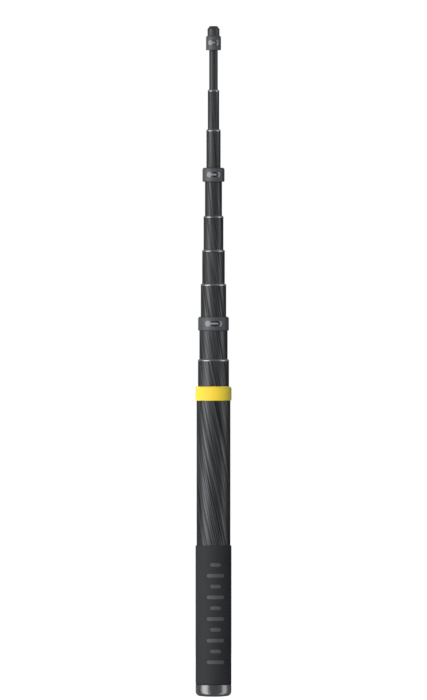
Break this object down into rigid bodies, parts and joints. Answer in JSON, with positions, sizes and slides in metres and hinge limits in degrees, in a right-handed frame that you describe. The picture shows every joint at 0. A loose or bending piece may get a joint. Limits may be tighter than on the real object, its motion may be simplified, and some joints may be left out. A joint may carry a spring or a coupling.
{
  "type": "telescoping camera pole",
  "caption": "Slim telescoping camera pole of nested dark tubes with twist locks, a smooth sleeve grip, a metal butt cap and a capped camera stud on top.",
  "frame": {"origin": "centre of the flat lower face of the butt cap", "axes": "+Z along the pole from the butt to the camera head; +X is to the right and +Y away when the pole is seen as in the picture"},
  "size_m": [0.036, 0.036, 0.6704],
  "materials": {
    "carbon_tube": "satin",
    "black_rod": "satin",
    "polished_ferrule": "polished",
    "grey_collar": "satin",
    "yellow_collar": "satin",
    "grip_rubber": "matte",
    "butt_metal": "satin",
    "black_cap": "matte",
    "guide_plastic": "satin",
    "bush_plastic": "satin",
    "spring_ring": "satin",
    "stud_steel": "satin",
    "core_metal": "satin",
    "seal_rubber": "matte"
  },
  "bodies": {
    "handle": {"butt_cap": "butt_metal", "butt_plug": "bush_plastic", "butt_seal_ring": "seal_rubber", "rattle_pad": "seal_rubber", "handle_grip": "grip_rubber", "main_tube": "carbon_tube", "yellow_collar": "yellow_collar", "main_tube_guide_liner": "guide_plastic"},
    "section_2_lock": {"section_2_lock_ring": "spring_ring"},
    "section_2": {"section_2_tube": "carbon_tube", "section_2_ferrule": "polished_ferrule", "section_2_guide_liner": "guide_plastic", "section_2_tail_bush": "bush_plastic"},
    "section_3_lock": {"section_3_lock_ring": "spring_ring"},
    "section_3": {"section_3_tube": "carbon_tube", "section_3_lock_collar": "grey_collar", "section_3_guide_liner": "guide_plastic", "section_3_tail_bush": "bush_plastic"},
    "section_4_lock": {"section_4_lock_ring": "spring_ring"},
    "section_4": {"section_4_tube": "carbon_tube", "section_4_ferrule": "polished_ferrule", "section_4_guide_liner": "guide_plastic", "section_4_tail_bush": "bush_plastic"},
    "section_5_lock": {"section_5_lock_ring": "spring_ring"},
    "section_5": {"section_5_tube": "carbon_tube", "section_5_ferrule": "polished_ferrule", "section_5_guide_liner": "guide_plastic", "section_5_tail_bush": "bush_plastic"},
    "section_6_lock": {"section_6_lock_ring": "spring_ring"},
    "section_6": {"section_6_tube": "carbon_tube", "section_6_ferrule": "polished_ferrule", "section_6_guide_liner": "guide_plastic", "section_6_tail_bush": "bush_plastic"},
    "section_7_lock": {"section_7_lock_ring": "spring_ring"},
    "section_7": {"section_7_tube": "carbon_tube", "section_7_lock_collar": "grey_collar", "section_7_guide_liner": "guide_plastic", "section_7_tail_bush": "bush_plastic"},
    "section_8_lock": {"section_8_lock_ring": "spring_ring"},
    "section_8": {"section_8_tube": "carbon_tube", "section_8_ferrule": "polished_ferrule", "section_8_guide_liner": "guide_plastic", "section_8_tail_bush": "bush_plastic"},
    "section_9_lock": {"section_9_lock_ring": "spring_ring"},
    "section_9": {"section_9_tube": "carbon_tube", "section_9_ferrule": "polished_ferrule", "section_9_guide_liner": "guide_plastic", "section_9_tail_bush": "bush_plastic"},
    "section_10_lock": {"section_10_lock_ring": "spring_ring"},
    "section_10": {"section_10_rod": "black_rod", "section_10_tail_bush": "bush_plastic", "head_collar": "grey_collar", "head_core": "core_metal", "camera_stud": "stud_steel", "seat_washer": "seal_rubber"},
    "tip_cap": {"tip_cap": "black_cap"}
  },
  "joints": [
    {"name": "section_2_slide", "type": "slide", "parent": "handle", "child": "section_2_lock", "axis": [0, 0, 1], "range_m": [-0.025, 0.2352]},
    {"name": "section_2_twist_lock", "type": "hinge", "parent": "section_2_lock", "child": "section_2", "pos_m": [0, 0, 0.0529], "axis": [0, 0, 1], "range_deg": [-90, 0]},
    {"name": "section_3_slide", "type": "slide", "parent": "section_2", "child": "section_3_lock", "axis": [0, 0, 1], "range_m": [-0.0282, 0.2331]},
    {"name": "section_3_twist_lock", "type": "hinge", "parent": "section_3_lock", "child": "section_3", "pos_m": [0, 0, 0.082], "axis": [0, 0, 1], "range_deg": [-90, 0]},
    {"name": "section_4_slide", "type": "slide", "parent": "section_3", "child": "section_4_lock", "axis": [0, 0, 1], "range_m": [-0.0306, 0.2444]},
    {"name": "section_4_twist_lock", "type": "hinge", "parent": "section_4_lock", "child": "section_4", "pos_m": [0, 0, 0.1135], "axis": [0, 0, 1], "range_deg": [-90, 0]},
    {"name": "section_5_slide", "type": "slide", "parent": "section_4", "child": "section_5_lock", "axis": [0, 0, 1], "range_m": [-0.0317, 0.2444]},
    {"name": "section_5_twist_lock", "type": "hinge", "parent": "section_5_lock", "child": "section_5", "pos_m": [0, 0, 0.1461], "axis": [0, 0, 1], "range_deg": [-90, 0]},
    {"name": "section_6_slide", "type": "slide", "parent": "section_5", "child": "section_6_lock", "axis": [0, 0, 1], "range_m": [-0.0317, 0.2457]},
    {"name": "section_6_twist_lock", "type": "hinge", "parent": "section_6_lock", "child": "section_6", "pos_m": [0, 0, 0.1787], "axis": [0, 0, 1], "range_deg": [-90, 0]},
    {"name": "section_7_slide", "type": "slide", "parent": "section_6", "child": "section_7_lock", "axis": [0, 0, 1], "range_m": [-0.0337, 0.2452]},
    {"name": "section_7_twist_lock", "type": "hinge", "parent": "section_7_lock", "child": "section_7", "pos_m": [0, 0, 0.2133], "axis": [0, 0, 1], "range_deg": [-90, 0]},
    {"name": "section_8_slide", "type": "slide", "parent": "section_7", "child": "section_8_lock", "axis": [0, 0, 1], "range_m": [-0.0361, 0.2565]},
    {"name": "section_8_twist_lock", "type": "hinge", "parent": "section_8_lock", "child": "section_8", "pos_m": [0, 0, 0.2503], "axis": [0, 0, 1], "range_deg": [-90, 0]},
    {"name": "section_9_slide", "type": "slide", "parent": "section_8", "child": "section_9_lock", "axis": [0, 0, 1], "range_m": [-0.0375, 0.2562]},
    {"name": "section_9_twist_lock", "type": "hinge", "parent": "section_9_lock", "child": "section_9", "pos_m": [0, 0, 0.2887], "axis": [0, 0, 1], "range_deg": [-90, 0]},
    {"name": "section_10_slide", "type": "slide", "parent": "section_9", "child": "section_10_lock", "axis": [0, 0, 1], "range_m": [-0.0391, 0.256]},
    {"name": "section_10_twist_lock", "type": "hinge", "parent": "section_10_lock", "child": "section_10", "pos_m": [0, 0, 0.3287], "axis": [0, 0, 1], "range_deg": [-90, 0]},
    {"name": "tip_cap_lift", "type": "slide", "parent": "section_10", "child": "tip_cap", "axis": [0, 0, 1], "range_m": [0, 0.01]}
  ]
}
